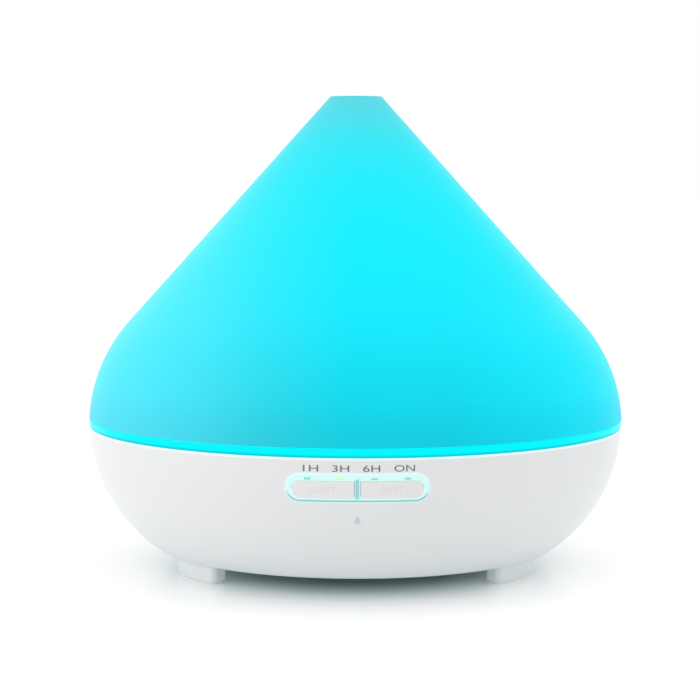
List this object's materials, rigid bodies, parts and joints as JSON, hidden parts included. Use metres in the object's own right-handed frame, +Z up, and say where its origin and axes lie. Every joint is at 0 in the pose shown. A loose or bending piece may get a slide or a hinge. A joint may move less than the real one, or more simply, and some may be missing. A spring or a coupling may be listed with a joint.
{
  "type": "essential oil diffuser",
  "caption": "Cone-shaped frosted cover over a white bowl base: an ultrasonic mist diffuser with a glowing ring, timer lights and two keys on four short feet.",
  "frame": {"origin": "on the resting plane, under the centre of the base", "axes": "+Z up; the front with the two keys faces -Y; +X is to the viewer's right"},
  "size_m": [0.1684, 0.1684, 0.1476],
  "materials": {
    "frosted_cover": "frosted translucent shell, lit from inside",
    "glow_ring": "translucent ring, lit",
    "white_gloss": "glossy white moulding",
    "white_matte": "satin white moulding",
    "white_button": "glossy white key",
    "clear_guide": "clear light guide, lit",
    "light_pipe": "clear rod",
    "soft_rubber": "light grey rubber",
    "seal_rubber": "silicone seal",
    "foam": "foam seal",
    "steel_screw": "zinc-plated steel",
    "board_green": "glass-fibre circuit board",
    "board_white": "white circuit board",
    "black_plastic": "black moulding",
    "brass_disc": "brass disc with a ceramic face",
    "aluminium_sink": "extruded aluminium",
    "capacitor_can": "sleeved can",
    "ferrite": "ferrite core",
    "nickel_pin": "nickel-plated contact",
    "led_package": "LED package",
    "wire_red": "silicone insulation",
    "wire_black": "silicone insulation",
    "wire_white": "silicone insulation"
  },
  "bodies": {
    "base": {"light_ring": "glow_ring", "base_shell": "white_gloss", "rubber_feet": "soft_rubber", "bottom_plate": "white_matte", "base_screws": "steel_screw", "water_tank": "white_gloss", "transducer_seal": "seal_rubber", "transducer_disc": "brass_disc", "transducer_clamp": "aluminium_sink", "clamp_screws": "steel_screw", "fan_housing": "black_plastic", "fan_motor": "nickel_pin", "fan_screws": "steel_screw", "fan_seal": "foam", "air_chimney": "white_matte", "main_board": "board_green", "board_screws": "steel_screw", "control_chip": "black_plastic", "capacitors": "capacitor_can", "inductor": "ferrite", "driver_transistor": "black_plastic", "heat_sink": "aluminium_sink", "wire_connectors": "white_matte", "led_board": "board_white", "leds": "led_package", "button_surround": "clear_guide", "button_board": "board_green", "switch_bodies": "black_plastic", "indicator_lights": "light_pipe", "indicator_chips": "led_package", "dc_jack": "black_plastic", "jack_centre_pin": "nickel_pin", "jack_spring": "nickel_pin", "transducer_lead": "wire_red", "fan_lead": "wire_black", "jack_lead": "wire_red", "led_lead": "wire_white", "button_lead": "wire_white"},
    "cover": {"cover": "frosted_cover", "mist_funnel": "white_matte"},
    "light_key": {"light_button": "white_button"},
    "mist_key": {"mist_button": "white_button"},
    "light_plunger": {"light_switch_plunger": "black_plastic"},
    "mist_plunger": {"mist_switch_plunger": "black_plastic"},
    "fan_rotor": {"fan_impeller": "black_plastic"}
  },
  "joints": [
    {"name": "cover_lift", "type": "slide", "parent": "base", "child": "cover", "axis": [0, 0, 1], "range_m": [0, 0.07]},
    {"name": "light_press", "type": "slide", "parent": "base", "child": "light_key", "axis": [0, 1, 0], "range_m": [0, 0.0005], "stiffness_N_per_m": 2000},
    {"name": "mist_press", "type": "slide", "parent": "base", "child": "mist_key", "axis": [0, 1, 0], "range_m": [0, 0.0005], "stiffness_N_per_m": 2000},
    {"name": "light_plunger_travel", "type": "slide", "parent": "base", "child": "light_plunger", "axis": [0, 1, 0], "range_m": [0, 0.0005]},
    {"name": "mist_plunger_travel", "type": "slide", "parent": "base", "child": "mist_plunger", "axis": [0, 1, 0], "range_m": [0, 0.0005]},
    {"name": "fan_spin", "type": "hinge", "parent": "base", "child": "fan_rotor", "pos_m": [0, 0.036, 0.0135], "axis": [0, 0, 1], "continuous": true}
  ],
  "couplings": [
    {"joint": "light_plunger_travel", "follows": "light_press", "ratio": 1},
    {"joint": "mist_plunger_travel", "follows": "mist_press", "ratio": 1}
  ]
}
